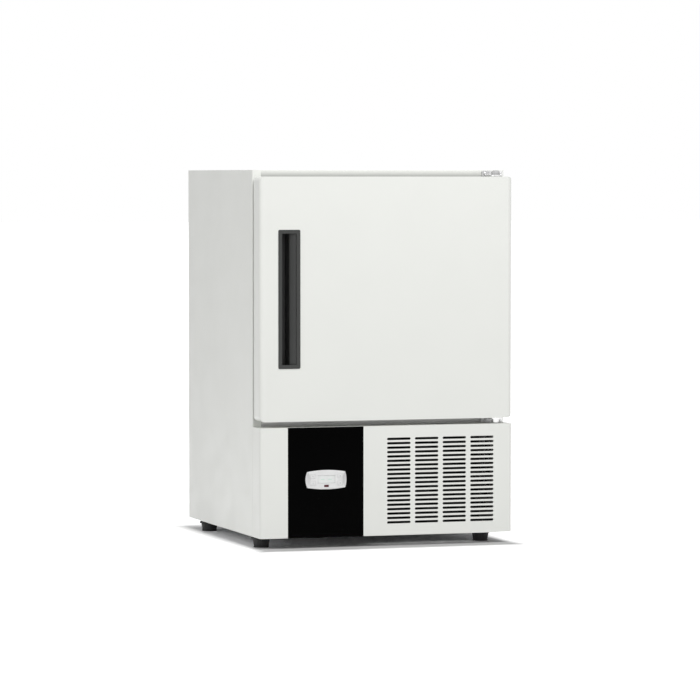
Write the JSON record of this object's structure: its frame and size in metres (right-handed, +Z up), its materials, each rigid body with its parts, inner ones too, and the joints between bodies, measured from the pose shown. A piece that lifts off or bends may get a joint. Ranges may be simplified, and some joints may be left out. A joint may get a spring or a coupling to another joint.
{
  "type": "blast chiller",
  "caption": "Free-standing blast chiller with an insulated side-hinged door, runner racks in the chamber and a slotted machine compartment with a controller below.",
  "frame": {"origin": "on the floor, under the middle of the overall box", "axes": "+Z up; -Y towards the door and the controls; +X towards the hinge side, on the right seen from the front"},
  "size_m": [0.6, 0.602, 0.85],
  "materials": {
    "white_paint": "satin",
    "galvanised_steel": "satin",
    "stainless_steel": "satin",
    "hinge_steel": "satin",
    "foam": "matte",
    "black_fascia": "satin",
    "black_grip": "satin",
    "light_plastic": "satin",
    "grey_plastic": "satin",
    "dark_plastic": "matte",
    "display_window": "gloss",
    "red_lens": "gloss",
    "gasket_rubber": "matte",
    "fan_metal": "satin",
    "motor_black": "satin",
    "coil_aluminium": "satin",
    "copper": "satin"
  },
  "bodies": {
    "door": {"door_skin": "white_paint", "door_inner_panel": "stainless_steel", "door_insulation": "foam", "door_gasket": "gasket_rubber", "door_grip": "black_grip", "door_bushes": "grey_plastic"},
    "evaporator_rotor": {"evaporator_fan": "fan_metal"},
    "condenser_rotor": {"condenser_fan": "fan_metal"},
    "key_power": {"key_power": "light_plastic"},
    "key_cycle": {"key_cycle": "light_plastic"},
    "key_down": {"key_down": "light_plastic"},
    "key_up": {"key_up": "light_plastic"},
    "foot_front_left": {"foot_front_left": "dark_plastic"},
    "foot_front_right": {"foot_front_right": "dark_plastic"},
    "foot_rear_left": {"foot_rear_left": "dark_plastic"},
    "foot_rear_right": {"foot_rear_right": "dark_plastic"},
    "cabinet": {"side_panel_left": "white_paint", "side_panel_right": "white_paint", "top_panel": "white_paint", "front_panel": "white_paint", "rear_panel": "galvanised_steel", "rear_grille": "galvanised_steel", "base_tray": "galvanised_steel", "divider_panel": "galvanised_steel", "electrical_box": "galvanised_steel", "electrical_box_cover": "galvanised_steel", "condenser_shroud": "galvanised_steel", "compressor_base": "galvanised_steel", "inner_liner": "stainless_steel", "front_collar": "stainless_steel", "evaporator_cover": "stainless_steel", "rack_left": "stainless_steel", "rack_right": "stainless_steel", "rack_studs": "stainless_steel", "upper_hinge_bracket": "hinge_steel", "lower_hinge_bracket": "hinge_steel", "hinge_screws": "hinge_steel", "foot_nuts": "hinge_steel", "evaporator_fan_guard": "hinge_steel", "cabinet_insulation": "foam", "control_fascia": "black_fascia", "controller_bezel": "light_plastic", "drain_tube": "light_plastic", "hinge_cap": "grey_plastic", "controller_housing": "dark_plastic", "compressor_terminal_cover": "dark_plastic", "condensate_tray": "dark_plastic", "cable_gland": "dark_plastic", "controller_display": "display_window", "indicator_lens": "red_lens", "compressor_grommets": "gasket_rubber", "condenser_fan_motor": "motor_black", "evaporator_fan_motor": "motor_black", "compressor_shell": "motor_black", "condenser_coil": "coil_aluminium", "evaporator_coil": "coil_aluminium", "discharge_pipe": "copper", "liquid_pipe": "copper", "suction_pipe": "copper", "filter_drier": "copper"}
  },
  "joints": [
    {"name": "door_swing", "type": "hinge", "parent": "cabinet", "child": "door", "pos_m": [0.266, -0.275, 0.561], "axis": [0, 0, 1], "range_deg": [0, 110]},
    {"name": "evaporator_fan_spin", "type": "hinge", "parent": "cabinet", "child": "evaporator_rotor", "pos_m": [0, 0.115, 0.561], "axis": [0, 1, 0], "continuous": true},
    {"name": "condenser_fan_spin", "type": "hinge", "parent": "cabinet", "child": "condenser_rotor", "pos_m": [0.125, -0.14, 0.142], "axis": [0, 1, 0], "continuous": true},
    {"name": "key_power_press", "type": "slide", "parent": "cabinet", "child": "key_power", "axis": [0, 1, 0], "range_m": [0, 0.001], "stiffness_N_per_m": 800},
    {"name": "key_cycle_press", "type": "slide", "parent": "cabinet", "child": "key_cycle", "axis": [0, 1, 0], "range_m": [0, 0.001], "stiffness_N_per_m": 800},
    {"name": "key_down_press", "type": "slide", "parent": "cabinet", "child": "key_down", "axis": [0, 1, 0], "range_m": [0, 0.001], "stiffness_N_per_m": 800},
    {"name": "key_up_press", "type": "slide", "parent": "cabinet", "child": "key_up", "axis": [0, 1, 0], "range_m": [0, 0.001], "stiffness_N_per_m": 800},
    {"name": "foot_front_left_adjust", "type": "slide", "parent": "cabinet", "child": "foot_front_left", "axis": [0, 0, -1], "range_m": [0, 0.015]},
    {"name": "foot_front_right_adjust", "type": "slide", "parent": "cabinet", "child": "foot_front_right", "axis": [0, 0, -1], "range_m": [0, 0.015]},
    {"name": "foot_rear_left_adjust", "type": "slide", "parent": "cabinet", "child": "foot_rear_left", "axis": [0, 0, -1], "range_m": [0, 0.015]},
    {"name": "foot_rear_right_adjust", "type": "slide", "parent": "cabinet", "child": "foot_rear_right", "axis": [0, 0, -1], "range_m": [0, 0.015]}
  ]
}
